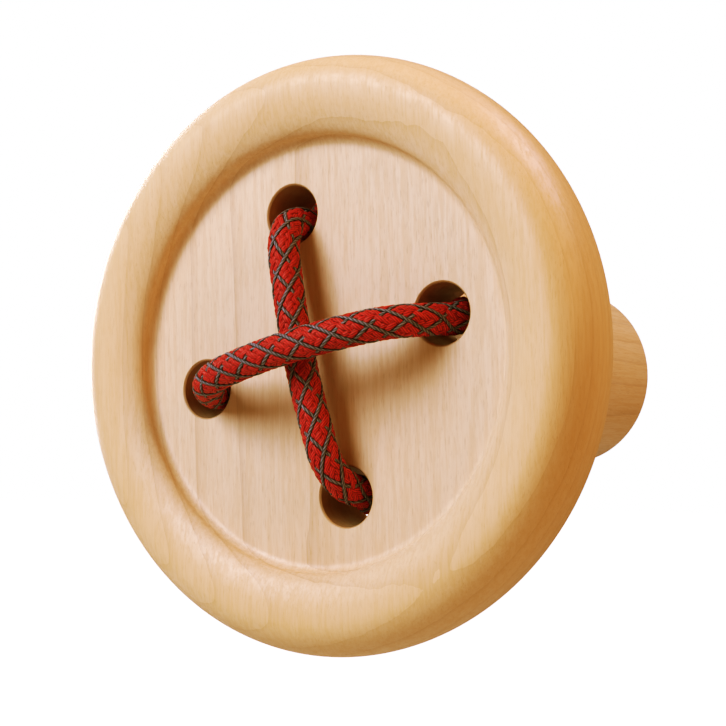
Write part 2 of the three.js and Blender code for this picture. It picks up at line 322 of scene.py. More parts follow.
def yarn_rings(index, way, width):
    """The rings of one yarn. way is 1 for the yarns that turn one way and -1 for the others."""
    angle = 2 * math.pi * (index / YARNS_EACH_WAY + way * cord_run / BRAID_LEAD)
    rise = yarn_rise(index, way) * YARN_WEAVE
    middle_radius = CORD_RADIUS - YARN_THICKNESS / 2 - YARN_WEAVE
    radius = (middle_radius + rise) * cord_taper
    outward = np.cos(angle)[:, None] * cord_side + np.sin(angle)[:, None] * cord_up
    middle = cord_route + radius[:, None] * outward
    heading = np.gradient(middle, axis=0)
    heading /= np.linalg.norm(heading, axis=1)[:, None]
    outward = outward - heading * (outward * heading).sum(axis=1)[:, None]
    outward /= np.linalg.norm(outward, axis=1)[:, None]
    across = np.cross(heading, outward)
    turn = np.linspace(0, 2 * math.pi, YARN_SIDES, endpoint=False)
    half_width = (cord_taper * width / 2)[:, None, None]
    return (middle[:, None] + half_width * np.cos(turn)[None, :, None] * across[:, None]
            + YARN_THICKNESS / 2 * np.sin(turn)[None, :, None] * outward[:, None])


reds = [index for index in range(YARNS_EACH_WAY) if index % GREY_EVERY]
greys = range(0, YARNS_EACH_WAY, GREY_EVERY)
red_right = strand_mesh("lacing_red_right", [yarn_rings(index, 1, RED_WIDTH) for index in reds])
red_left = strand_mesh("lacing_red_left", [yarn_rings(index, -1, RED_WIDTH) for index in reds])
grey_yarns = strand_mesh("lacing_grey", [yarn_rings(index, way, GREY_WIDTH)
                                         for index in greys for way in (1, -1)])
print(len(reds), "red and", len(greys), "grey yarns each way")

# %% [markdown]
# The core fills the sleeve, so no light shines through between two yarns. It is a plain round strand
# just under them.

# %% Fill the cord with its core
CORE_RADIUS = 2.08 * MM
CORE_SIDES = 16

turn = np.linspace(0, 2 * math.pi, CORE_SIDES, endpoint=False)
core_radius = CORE_RADIUS * cord_taper
core_rings = cord_route[:, None] + core_radius[:, None, None] * (
    np.cos(turn)[None, :, None] * cord_side[:, None] + np.sin(turn)[None, :, None] * cord_up[:, None])
cord_core = strand_mesh("lacing_core", [core_rings])
for piece in (red_right, red_left, grey_yarns, cord_core):
    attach(piece, "hook")
    print(piece.name, len(piece.data.polygons), "faces")
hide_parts("lacing_cord", "cord_knot", "cord_tail_upper", "cord_tail_lower")

# %% [markdown]
# ## Turned pieces
#
# The button and the post come off a lathe, and so does much of the fixing. A spin of a drawn outline
# would do, but rings that are extruded one by one and scaled to size keep every face a clean
# quadrilateral, and the outline stays a short list of radius and depth.

# %% Helpers for turning
TURNING_STEPS = 64


def deselect():
    bpy.ops.object.select_all(action="DESELECT")


def turned(name, outline, steps=TURNING_STEPS, hollow=False):
    """A closed body around the Y axis. The outline is (radius, y) points. A solid body is capped at its
    first and last point; a hollow one has an outline that ends where it starts."""
    deselect()
    radius, y = outline[0]
    bpy.ops.mesh.primitive_circle_add(
        vertices=steps, radius=radius, fill_type="NOTHING" if hollow else "NGON",
        location=(0, y, 0), rotation=(math.pi / 2, 0, 0))
    body = bpy.context.object
    body.name = name
    body.data.name = name
    bpy.ops.object.transform_apply(location=True, rotation=True, scale=True)
    bpy.ops.object.mode_set(mode="EDIT")
    bpy.ops.mesh.select_all(action="SELECT")
    for next_radius, next_y in outline[1:]:
        bpy.ops.mesh.extrude_region_move(TRANSFORM_OT_translate={"value": (0, next_y - y, 0)})
        growth = next_radius / radius
        bpy.ops.transform.resize(value=(growth, 1, growth), center_override=(0, 0, 0))
        radius, y = next_radius, next_y
    bpy.ops.mesh.select_all(action="SELECT")
    bpy.ops.mesh.remove_doubles(threshold=1e-6)
    bpy.ops.mesh.normals_make_consistent(inside=False)
    bpy.ops.object.mode_set(mode="OBJECT")
    return body


def arc(radius, y, width, height, start, end, steps):
    """Points on an ellipse around (radius, y), from start to end in quarter turns."""
    turns = [(start + (end - start) * i / steps) * math.pi / 2 for i in range(steps + 1)]
    return [(radius + width * math.cos(turn), y + height * math.sin(turn)) for turn in turns]


# %% [markdown]
# Holes, slots and fins are cut into or added to a turned body with a boolean modifier, which is applied
# at once. Shading is smooth except across edges that are sharp on the real piece.

# %% Helpers for cutting and shading
SHARP_ANGLE = math.radians(32)


def box_cutter(low, high):
    """A plain block between two corners."""
    deselect()
    middle = [(a + b) / 2 for a, b in zip(low, high)]
    bpy.ops.mesh.primitive_cube_add(size=1, location=middle)
    block = bpy.context.object
    block.scale = [b - a for a, b in zip(low, high)]
    bpy.ops.object.transform_apply(location=True, rotation=True, scale=True)
    return block


def join_or_cut(body, tool, operation):
    """Unites the body with the tool, or takes the tool away from it, and deletes the tool."""
    deselect()
    body.select_set(True)
    bpy.context.view_layer.objects.active = body
    bpy.ops.object.modifier_add(type="BOOLEAN")
    modifier = body.modifiers[-1]
    modifier.operation = operation
    modifier.solver = "EXACT"
    modifier.object = tool
    bpy.ops.object.modifier_apply(modifier=modifier.name)
    bpy.data.objects.remove(tool, do_unlink=True)


def smooth(body):
    """Smooth shading, with edges over SHARP_ANGLE left crisp."""
    deselect()
    body.select_set(True)
    bpy.context.view_layer.objects.active = body
    bpy.ops.object.shade_smooth_by_angle(angle=SHARP_ANGLE)
    print(body.name, len(body.data.polygons), "faces")


# %% [markdown]
# ### The button
#
# The rim is a rounded swell with a soft hollow at its foot, and the floor inside it is flat. The four
# holes are drilled square to the floor after turning, and only the sharp edge is taken off them.

# %% Turn the button
BUTTON_STEPS = 192
COVE_POINTS = 8
RIM_POINTS = 22
BACK_POINTS = 18
FLOOR_BORDER = 0.5 * MM
DOWEL_SOCKET_RADIUS = 5.3 * MM
DOWEL_IN_BUTTON = 7.8 * MM

slope_foot = FLOOR_RADIUS + COVE_RADIUS
button_outline = (
    [(FLOOR_RADIUS - FLOOR_BORDER, FLOOR)]
    + arc(FLOOR_RADIUS, FLOOR - COVE_RADIUS, COVE_RADIUS, COVE_RADIUS, 1, 0, COVE_POINTS)
    + arc(CREST_RADIUS, FLOOR - COVE_RADIUS, slope_foot - CREST_RADIUS,
          BUTTON_FRONT - FLOOR + COVE_RADIUS, 0, 1, RIM_POINTS)[1:]
    + arc(CREST_RADIUS, BELLY, BUTTON_RADIUS - CREST_RADIUS, BUTTON_FRONT - BELLY, 1, 0, RIM_POINTS)[1:]
    + arc(BACK_RADIUS, BELLY, BUTTON_RADIUS - BACK_RADIUS, BUTTON_BACK - BELLY, 0, 1, BACK_POINTS)[1:]
    + [(BACK_RADIUS - FLOOR_BORDER, BUTTON_BACK), (DOWEL_SOCKET_RADIUS, BUTTON_BACK),
       (DOWEL_SOCKET_RADIUS, BUTTON_BACK - DOWEL_IN_BUTTON)]
)
button = turned("button_turned", button_outline, BUTTON_STEPS)
print("button outline has", len(button_outline), "points")

# %% Drill the four holes
DRILL_EXTRA = 1 * MM
drill_outline = [
    (HOLE_RADIUS + HOLE_EASE, FLOOR - DRILL_EXTRA), (HOLE_RADIUS + HOLE_EASE, FLOOR),
    (HOLE_RADIUS, FLOOR + HOLE_EASE), (HOLE_RADIUS, BUTTON_BACK - HOLE_EASE),
    (HOLE_RADIUS + HOLE_EASE, BUTTON_BACK), (HOLE_RADIUS + HOLE_EASE, BUTTON_BACK + DRILL_EXTRA),
]
for hole in range(HOLE_COUNT):
    angle = HOLE_TURN + hole * 2 * math.pi / HOLE_COUNT
    drill = turned("drill", drill_outline)
    bpy.ops.object.mode_set(mode="EDIT")
    bpy.ops.mesh.select_all(action="SELECT")
    bpy.ops.transform.translate(
        value=(HOLE_PITCH_RADIUS * math.cos(angle), 0, HOLE_PITCH_RADIUS * math.sin(angle)))
    bpy.ops.object.mode_set(mode="OBJECT")
    join_or_cut(button, drill, "DIFFERENCE")
smooth(button)

# %% [markdown]
# ### The post
#
# The post is a plain turned cylinder with its edges eased. Its front end has the socket for the dowel,
# and its rear end is stepped for the insert: a seat for the flange, the insert's bore, and room for the
# end of the bolt.

# %% Turn the post
POST_STEPS = 128
EDGE_POINTS = 6
POST_EDGE = 0.8 * MM
DOWEL_IN_POST = 21.3 * MM
SEAT_RADIUS = 6.8 * MM
SEAT_DEPTH = 1.5 * MM
BORE_RADIUS = 5.3 * MM
BORE_DEPTH = 15.3 * MM
BOLT_HOLE_RADIUS = 3.3 * MM
BOLT_HOLE_DEPTH = 22 * MM
GLUE_LINE = 0.02 * MM

post_front = BUTTON_BACK + GLUE_LINE
post_outline = (
    [(DOWEL_SOCKET_RADIUS, BUTTON_BACK + DOWEL_IN_POST), (DOWEL_SOCKET_RADIUS, post_front)]
    + arc(POST_RADIUS - POST_EDGE / 2, post_front + POST_EDGE / 2, POST_EDGE / 2, POST_EDGE / 2,
          -1, 0, EDGE_POINTS - 1)
    + arc(POST_RADIUS - POST_EDGE, -POST_EDGE, POST_EDGE, POST_EDGE, 0, 1, EDGE_POINTS)
    + [(SEAT_RADIUS, 0), (SEAT_RADIUS, -SEAT_DEPTH), (BORE_RADIUS, -SEAT_DEPTH),
       (BORE_RADIUS, -BORE_DEPTH), (BOLT_HOLE_RADIUS, -BORE_DEPTH), (BOLT_HOLE_RADIUS, -BOLT_HOLE_DEPTH)]
)
post = turned("post_turned", post_outline, POST_STEPS)
smooth(post)
for piece, node in ((button, "button_disc"), (post, "post")):
    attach(piece, "hook")
    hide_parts(node)

# %% [markdown]
# ## The fixing
#
# A threaded insert sits flush in the post's rear end. The hanger bolt has a machine thread at its front
# and a wood thread behind, which spreads the nylon plug in the wall. A thread is a helix, which no ring
# of an extrusion can follow, so the rings of the bolt are worked out from the thread's pitch.

# %% Make the threaded insert
insert_low, insert_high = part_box("threaded_insert")
FLANGE_RADIUS = insert_high.x
FLANGE = 1.2 * MM
INSERT_RADIUS = 5 * MM
INSERT_BORE = 3.08 * MM
INSERT_EDGE = 0.3 * MM
INSERT_BEVEL = 0.8 * MM
DRIVE_SLOT = 1.6 * MM
DRIVE_DEPTH = 0.7 * MM

insert_outline = [
    (INSERT_BORE + INSERT_EDGE, 0), (FLANGE_RADIUS - INSERT_EDGE, 0), (FLANGE_RADIUS, -INSERT_EDGE),
    (FLANGE_RADIUS, -FLANGE), (INSERT_RADIUS, -FLANGE), (INSERT_RADIUS, insert_low.y + INSERT_BEVEL),
    (INSERT_RADIUS - INSERT_BEVEL, insert_low.y), (INSERT_BORE, insert_low.y), (INSERT_BORE, -INSERT_EDGE),
    (INSERT_BORE + INSERT_EDGE, 0),
]
insert = turned("insert_turned", insert_outline, hollow=True)
reach = FLANGE_RADIUS + DRILL_EXTRA
slot = box_cutter((-reach, -DRIVE_DEPTH, -DRIVE_SLOT / 2), (reach, DRILL_EXTRA, DRIVE_SLOT / 2))
join_or_cut(insert, slot, "DIFFERENCE")
smooth(insert)
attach(insert, "hook")
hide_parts("threaded_insert")

# %% Make the hanger bolt
bolt_low, bolt_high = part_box("hanger_bolt")
BOLT_RADIUS = bolt_high.x
MACHINE_PITCH = 1 * MM
MACHINE_ROOT = 2.45 * MM
WOOD_PITCH = 2.4 * MM
WOOD_ROOT = 2.1 * MM
COLLAR_START = -0.5 * MM
COLLAR_END = 1.5 * MM
BOLT_TIP = 6 * MM
BOLT_POINT = 0.1             # width of the point, as a share of the bolt's
FRONT_END = 0.75             # the same for the front end, where the machine thread starts
BOLT_RING = 0.125 * MM
BOLT_SIDES = 32
WOOD_THREAD_SHARPNESS = 3

y = np.arange(bolt_low.y, bolt_high.y + BOLT_RING / 2, BOLT_RING)
turn = np.linspace(0, 2 * math.pi, BOLT_SIDES, endpoint=False)
around = turn[None, :] / (2 * math.pi)


def ridge(pitch):
    """1 on the crest of a thread and 0 in its root."""
    phase = (y[:, None] / pitch + around) % 1
    return 1 - np.abs(2 * phase - 1)


machine_thread = MACHINE_ROOT + (BOLT_RADIUS - MACHINE_ROOT) * ridge(MACHINE_PITCH)
wood_thread = WOOD_ROOT + (BOLT_RADIUS - WOOD_ROOT) * ridge(WOOD_PITCH) ** WOOD_THREAD_SHARPNESS
bolt_radius = np.where(y[:, None] < COLLAR_START, machine_thread,
                       np.where(y[:, None] < COLLAR_END, BOLT_RADIUS, wood_thread))
front_taper = np.clip((y - bolt_low.y) / MACHINE_PITCH, 0, 1) * (1 - FRONT_END) + FRONT_END
rear_taper = np.clip((bolt_high.y - y) / BOLT_TIP, BOLT_POINT, 1)
bolt_radius = bolt_radius * (front_taper * rear_taper)[:, None]
bolt_rings = np.stack(
    [bolt_radius * np.cos(turn)[None], np.broadcast_to(y[:, None], bolt_radius.shape),
     bolt_radius * np.sin(turn)[None]], axis=2)[:, ::-1]
bolt = strand_mesh("bolt_threaded", [bolt_rings])
smooth(bolt)
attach(bolt, "fixing")
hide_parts("hanger_bolt")

# %% [markdown]
# The plug is moulded in nylon. Its sleeve has saw-shaped rings that grip the wall, two long slots that
# let it spread, and a pair of fins that keep it from turning in its hole.

# %% Mould the wall plug
plug_low, plug_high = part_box("wall_plug")
PLUG_RIM_RADIUS = plug_high.x
PLUG_RADIUS = 4 * MM
PLUG_BORE = 3.15 * MM
PLUG_RIM = 1 * MM
PLUG_RIM_EDGE = 0.25 * MM
TOOTH_START = 7 * MM
TOOTH_END = 27 * MM
TOOTH_STEP = 2 * MM
TOOTH_DEPTH = 0.35 * MM
TOOTH_DROP = 0.15            # share of a tooth's length in which its steep side falls
PLUG_END_TAPER = 0.5 * MM
PLUG_SLOT_HALF = 0.5 * MM
PLUG_SLOT_START = 7 * MM
FIN_HALF = 0.4 * MM
FIN_ROOT = 0.4 * MM
FIN_REACH = 4.7 * MM
FIN_END = 11 * MM

teeth = []
for start in np.arange(TOOTH_START, TOOTH_END, TOOTH_STEP):
    teeth += [(PLUG_RADIUS, start), (PLUG_RADIUS - TOOTH_DEPTH, start + TOOTH_DROP * TOOTH_STEP)]
rim_face = plug_low.y
plug_outline = (
    [(PLUG_BORE, rim_face), (PLUG_RIM_RADIUS - PLUG_RIM_EDGE, rim_face),
     (PLUG_RIM_RADIUS, rim_face + PLUG_RIM_EDGE), (PLUG_RIM_RADIUS, rim_face + PLUG_RIM - PLUG_RIM_EDGE),
     (PLUG_RIM_RADIUS - PLUG_RIM_EDGE, rim_face + PLUG_RIM), (PLUG_RADIUS, rim_face + PLUG_RIM)]
    + teeth
    + [(PLUG_RADIUS, TOOTH_END), (PLUG_RADIUS - PLUG_END_TAPER, plug_high.y), (PLUG_BORE, plug_high.y),
       (PLUG_BORE, rim_face)]
)
plug = turned("plug_moulded", plug_outline, hollow=True)
for side in (-1, 1):
    inner, outer = sorted((side * (PLUG_RADIUS - FIN_ROOT), side * FIN_REACH))
    fin = box_cutter((inner, rim_face + PLUG_RIM / 2, -FIN_HALF), (outer, FIN_END, FIN_HALF))
    join_or_cut(plug, fin, "UNION")
slot = box_cutter((-PLUG_SLOT_HALF, PLUG_SLOT_START, -PLUG_RIM_RADIUS),
                  (PLUG_SLOT_HALF, plug_high.y - TOOTH_STEP, PLUG_RIM_RADIUS))
join_or_cut(plug, slot, "DIFFERENCE")
smooth(plug)
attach(plug, "fixing")
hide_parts("wall_plug")

# %% [markdown]
# ## Finishes
#
# Patterns that more than one finish uses are built once, as node groups, and each material gives them
# its own values.

# %% Helpers for node groups
def new_group(name, inputs, outputs):
    """An empty node group with the given sockets, and its input and output nodes."""
    tree = bpy.data.node_groups.new(name, "ShaderNodeTree")
    for label, kind, value in inputs:
        socket = tree.interface.new_socket(name=label, in_out="INPUT", socket_type="NodeSocket" + kind)
        if value is not None:
            socket.default_value = value
    for label, kind in outputs:
        tree.interface.new_socket(name=label, in_out="OUTPUT", socket_type="NodeSocket" + kind)
    return tree, tree.nodes.new("NodeGroupInput"), tree.nodes.new("NodeGroupOutput")


def feed(tree, socket, value):
    """Links a socket, or sets it to a plain value."""
    if isinstance(value, bpy.types.NodeSocket):
        tree.links.new(value, socket)
    else:
        socket.default_value = value


def maths(tree, operation, *values, clamp=False):
    node = tree.nodes.new("ShaderNodeMath")
    node.operation = operation
    node.use_clamp = clamp
    for socket, value in zip(node.inputs, values):
        feed(tree, socket, value)
    return node.outputs[0]


def vector_maths(tree, operation, *values):
    node = tree.nodes.new("ShaderNodeVectorMath")
    node.operation = operation
    for socket, value in zip(node.inputs, values):
        feed(tree, socket, value)
    return node.outputs["Value" if operation in ("LENGTH", "DISTANCE") else "Vector"]


def noise(tree, vector, scale, detail=3.0, roughness=0.5):
    node = tree.nodes.new("ShaderNodeTexNoise")
    feed(tree, node.inputs["Vector"], vector)
    feed(tree, node.inputs["Scale"], scale)
    node.inputs["Detail"].default_value = detail
    node.inputs["Roughness"].default_value = roughness
    return node.outputs["Fac"]


def ramp(tree, value, low, high, to_low=0.0, to_high=1.0):
    """Maps low..high to to_low..to_high in a soft S."""
    node = tree.nodes.new("ShaderNodeMapRange")
    node.interpolation_type = "SMOOTHSTEP"
    for socket, number in zip(node.inputs, (value, low, high, to_low, to_high)):
        feed(tree, socket, number)
    return node.outputs[0]


def mix(tree, factor, first, second):
    """The first colour where the factor is 0, and the second where it is 1."""
    node = tree.nodes.new("ShaderNodeMix")
    node.data_type = "RGBA"
    feed(tree, node.inputs["Factor"], factor)
    feed(tree, node.inputs[6], first)
    feed(tree, node.inputs[7], second)
    return node.outputs[2]


# %% [markdown]
# ### Wood
#
# Maple shows three things. The growth rings cut the surface in faint, thin, brown lines; the fibres
# give fine streaks along the grain; and the tiny pores show as short flecks. In each group the grain
# runs along Z, so a piece whose grain runs another way turns its coordinates first.

# %% Build the growth ring group
SHAKE = 0.6 * MM             # fine unevenness of a ring
LINE_SHARPNESS = 8.0

rings_group, ins, outs = new_group(
    "growth_rings",
    [("Vector", "Vector", None), ("Ring spacing", "Float", 2.6 * MM), ("Waver", "Float", 4 * MM)],
    [("Line", "Float"), ("Tone", "Float")])
along_grain = vector_maths(rings_group, "MULTIPLY", ins.outputs["Vector"], (1, 1, 0.22))
drift = noise(rings_group, along_grain, 22.0, 2.0)
drift = maths(rings_group, "MULTIPLY", maths(rings_group, "SUBTRACT", drift, 0.5), ins.outputs["Waver"])
shake = noise(rings_group, along_grain, 260.0, 2.0)
shake = maths(rings_group, "MULTIPLY", maths(rings_group, "SUBTRACT", shake, 0.5), SHAKE)
flat = vector_maths(rings_group, "MULTIPLY", ins.outputs["Vector"], (1, 1, 0))
from_pith = maths(rings_group, "ADD", vector_maths(rings_group, "LENGTH", flat), drift)
from_pith = maths(rings_group, "ADD", from_pith, shake)
ring_number = maths(rings_group, "DIVIDE", from_pith, ins.outputs["Ring spacing"])
growth = maths(rings_group, "FRACT", ring_number)
rings_group.links.new(maths(rings_group, "POWER", growth, LINE_SHARPNESS), outs.inputs["Line"])
slow = noise(rings_group, vector_maths(rings_group, "MULTIPLY", along_grain, (1, 1, 0.3)), 55.0, 2.0)
rings_group.links.new(ramp(rings_group, slow, 0.3, 0.7), outs.inputs["Tone"])

# %% Build the fibre group
fibre_group, ins, outs = new_group(
    "wood_fibre",
    [("Vector", "Vector", None), ("Pore size", "Float", 1.0)],
    [("Streak", "Float"), ("Pores", "Float"), ("Height", "Float")])
long_grain = vector_maths(fibre_group, "MULTIPLY", ins.outputs["Vector"], (1, 1, 0.05))
coarse = noise(fibre_group, long_grain, 1100.0, 4.0, 0.7)
fine_grain = vector_maths(fibre_group, "MULTIPLY", ins.outputs["Vector"], (1, 1, 0.09))
fine = noise(fibre_group, fine_grain, 2600.0, 3.0, 0.6)
streak = maths(fibre_group, "ADD", maths(fibre_group, "MULTIPLY", coarse, 0.6),
               maths(fibre_group, "MULTIPLY", fine, 0.4))
fibre_group.links.new(ramp(fibre_group, streak, 0.40, 0.60), outs.inputs["Streak"])
pore_scale = maths(fibre_group, "DIVIDE", 4600.0, ins.outputs["Pore size"])
pore_grain = vector_maths(fibre_group, "MULTIPLY", ins.outputs["Vector"], (1, 1, 0.12))
pores = ramp(fibre_group, noise(fibre_group, pore_grain, pore_scale, 1.0), 0.61, 0.70)
fibre_group.links.new(pores, outs.inputs["Pores"])
height = maths(fibre_group, "SUBTRACT", streak, maths(fibre_group, "MULTIPLY", pores, 0.5))
fibre_group.links.new(height, outs.inputs["Height"])
print("wood groups", rings_group.name, fibre_group.name)

# %% [markdown]
# The button is cut from a board, with the grain upright and the rings nearly parallel to its face, so
# their lines run up and down it. The post is turned along its grain. The rim is painted a deeper amber
# than the sunken floor, as painted shade for the warm shade on its slopes, and the walls of the drilled
# holes are painted darker, as painted shade inside the holes. Both follow from the place on the piece,
# so a mask can find them.

# %% Make the wood materials
def new_material(name):
    material = bpy.data.materials.new(name)
    material.use_nodes = True
    return material, material.node_tree, material.node_tree.nodes["Principled BSDF"]


def place_group(tree, group, **values):
    node = tree.nodes.new("ShaderNodeGroup")
    node.node_tree = group
    for label, value in values.items():
        feed(tree, node.inputs[label.replace("_", " ")], value)
    return node


# The walls of the drilled holes are painted darker, as painted shade inside the holes.
HOLE_SHADE_START = 0.1 * MM       # the dark of the holes fades between these distances from their walls
HOLE_SHADE_END = 0.25 * MM


def drilled(tree, position):
    """1 on the walls of the four drilled holes, and 0 elsewhere."""
    turned_back = tree.nodes.new("ShaderNodeMapping")
    turned_back.inputs["Rotation"].default_value = (0, HOLE_TURN, 0)
    tree.links.new(position, turned_back.inputs["Vector"])
    folded = vector_maths(tree, "ABSOLUTE", turned_back.outputs["Vector"])
    folded = vector_maths(tree, "MULTIPLY", folded, (1, 0, 1))
    nearest = maths(tree, "MINIMUM",
                    vector_maths(tree, "DISTANCE", folded, (HOLE_PITCH_RADIUS, 0, 0)),
                    vector_maths(tree, "DISTANCE", folded, (0, 0, HOLE_PITCH_RADIUS)))
    return ramp(tree, nearest, HOLE_RADIUS + HOLE_SHADE_START, HOLE_RADIUS + HOLE_SHADE_END, 1.0, 0.0)


RING_TONE = 0.25             # how far each pattern moves the colour
STREAK_TONE = 0.5
LINE_SHARE = 0.24
PORE_SHARE = 0.13
RIM_SHADE_SHARE = 0.45
HOLE_SHADE_SHARE = 0.62
# The rim's deeper amber is painted shade; it sets in between these two radii.
RIM_SHADE_FROM = 34 * MM         # the amber of the rim sets in between these radii
RIM_SHADE_TO = 42 * MM
SMOOTH_WOOD = 0.42           # roughness of the light streaks, and of the dark ones
ROUGH_WOOD = 0.54
GRAIN_STRENGTH = 0.35
GRAIN_DEPTH = 0.12 * MM


def wood(name, light, dark, line, rim_shade, pith, grain_turn, spacing, pore_size, bored=False):
    """Turned, oiled wood with painted shade: deeper amber on the rim, and darker hole walls if bored."""
    material, tree, shader = new_material(name)
    place = tree.nodes.new("ShaderNodeTexCoord")
    mapping = tree.nodes.new("ShaderNodeMapping")
    mapping.inputs["Location"].default_value = pith
    mapping.inputs["Rotation"].default_value = grain_turn
    tree.links.new(place.outputs["Object"], mapping.inputs["Vector"])
    vector = mapping.outputs["Vector"]
    rings = place_group(tree, rings_group, Vector=vector, Ring_spacing=spacing)
    fibre = place_group(tree, fibre_group, Vector=vector, Pore_size=pore_size)
    tone = maths(tree, "MULTIPLY", rings.outputs["Tone"], RING_TONE)
    streak_tone = maths(tree, "MULTIPLY", fibre.outputs["Streak"], STREAK_TONE)
    colour = mix(tree, maths(tree, "ADD", tone, streak_tone, clamp=True), light, dark)
    colour = mix(tree, maths(tree, "MULTIPLY", rings.outputs["Line"], LINE_SHARE), colour, line)
    colour = mix(tree, maths(tree, "MULTIPLY", fibre.outputs["Pores"], PORE_SHARE), colour, line)
    # Painted shade: the rim is mixed towards a deeper amber, setting in from radius 34 mm to 42 mm.
    from_axis = vector_maths(tree, "MULTIPLY", place.outputs["Object"], (1, 0, 1))
    handling_and_rim_shade = ramp(tree, vector_maths(tree, "LENGTH", from_axis), RIM_SHADE_FROM, RIM_SHADE_TO)
    colour = mix(tree, maths(tree, "MULTIPLY", handling_and_rim_shade, RIM_SHADE_SHARE), colour, rim_shade)
    if bored:
        # Painted shade: the walls of the drilled holes are mixed towards the line colour.
        hole_shade = maths(tree, "MULTIPLY", drilled(tree, place.outputs["Object"]), HOLE_SHADE_SHARE)
        colour = mix(tree, hole_shade, colour, line)
    tree.links.new(colour, shader.inputs["Base Color"])
    rough = ramp(tree, fibre.outputs["Streak"], 0.0, 1.0, SMOOTH_WOOD, ROUGH_WOOD)
    tree.links.new(rough, shader.inputs["Roughness"])
    bump = tree.nodes.new("ShaderNodeBump")
    bump.inputs["Strength"].default_value = GRAIN_STRENGTH
    bump.inputs["Distance"].default_value = GRAIN_DEPTH
    tree.links.new(fibre.outputs["Height"], bump.inputs["Height"])
    tree.links.new(bump.outputs["Normal"], shader.inputs["Normal"])
    return material


MAPLE_LIGHT = (0.84, 0.64, 0.46, 1)
MAPLE_DARK = (0.74, 0.50, 0.30, 1)
MAPLE_LINE = (0.40, 0.17, 0.055, 1)
# This deeper amber is painted shade for the rim's slopes.
MAPLE_RIM_SHADE = (0.82, 0.52, 0.25, 1)
BEECH_LIGHT = (0.62, 0.38, 0.20, 1)
BEECH_DARK = (0.50, 0.27, 0.13, 1)
BEECH_LINE = (0.25, 0.11, 0.04, 1)
# Painted shade colour for the rim, as for the maple.
BEECH_RIM_SHADE = (0.5, 0.3, 0.15, 1)
NEARLY_UPRIGHT = (0, math.radians(1.5), 0)
ALONG_POST = (math.pi / 2, 0, 0)
upright_maple = wood("maple_upright", MAPLE_LIGHT, MAPLE_DARK, MAPLE_LINE, MAPLE_RIM_SHADE,
                     pith=(-22 * MM, -62 * MM, 0), grain_turn=NEARLY_UPRIGHT,
                     spacing=2.7 * MM, pore_size=1.0, bored=True)
lengthwise_maple = wood("maple_lengthwise", MAPLE_LIGHT, MAPLE_DARK, MAPLE_LINE, MAPLE_RIM_SHADE,
                        pith=(4 * MM, 12 * MM, 0), grain_turn=ALONG_POST,
                        spacing=2.4 * MM, pore_size=1.0)
beech = wood("beech_dowel", BEECH_LIGHT, BEECH_DARK, BEECH_LINE, BEECH_RIM_SHADE,
             pith=(20 * MM, 30 * MM, 0), grain_turn=ALONG_POST, spacing=3 * MM, pore_size=1.6)


def finish_with(piece, material):
    """Gives the piece this one material."""
    piece.data.materials.clear()
    piece.data.materials.append(material)


finish_with(button, upright_maple)
finish_with(post, lengthwise_maple)
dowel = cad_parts["joint_dowel"]
for slot_of_node in dowel.material_slots:
    slot_of_node.material = beech
print("wood on", button.name, post.name, dowel.name)

# %% [markdown]
# ### Yarn
#
# A yarn is a bundle of fine, shiny filaments with a slight twist. The filaments show as thin slanted
# lines, dark in between, so the pattern follows each yarn by its own UVs.

# %% Build the filament group
filament_group, ins, outs = new_group(
    "filaments",
    [("Vector", "Vector", None), ("Count", "Float", 9.0), ("Twist", "Float", 3.0)],
    [("Thread", "Float"), ("Patch", "Float")])
split = filament_group.nodes.new("ShaderNodeSeparateXYZ")
filament_group.links.new(ins.outputs["Vector"], split.inputs[0])
slant = maths(filament_group, "MULTIPLY", split.outputs["X"], ins.outputs["Twist"])
across = maths(filament_group, "MULTIPLY", maths(filament_group, "ADD", split.outputs["Y"], slant),
               ins.outputs["Count"])
wobble = noise(filament_group, vector_maths(filament_group, "MULTIPLY", ins.outputs["Vector"], (14, 40, 1)),
               1.0, 2.0)
across = maths(filament_group, "ADD", across, maths(filament_group, "MULTIPLY", wobble, 0.9))
wave = maths(filament_group, "SINE", maths(filament_group, "MULTIPLY", across, 2 * math.pi))
filament_group.links.new(ramp(filament_group, wave, -1.0, 1.0), outs.inputs["Thread"])
patch = noise(filament_group, vector_maths(filament_group, "MULTIPLY", ins.outputs["Vector"], (5, 2, 1)),
              1.0, 3.0)
filament_group.links.new(patch, outs.inputs["Patch"])
print("yarn group", filament_group.name)


# %% Make the yarn materials
THREAD_SHARE = 0.55          # how far the filaments and the patches lighten a yarn
PATCH_SHARE = 0.45
# The edges and underside of each yarn are painted darker, as painted shade between the yarns.
EDGE_SHADE_FROM = 0.1              # the dark edge of a yarn fades between these heights on its round
EDGE_SHADE_TO = 0.85
YARN_GLOSS = 0.35
FILAMENT_STRENGTH = 0.6
FILAMENT_DEPTH = 0.08 * MM


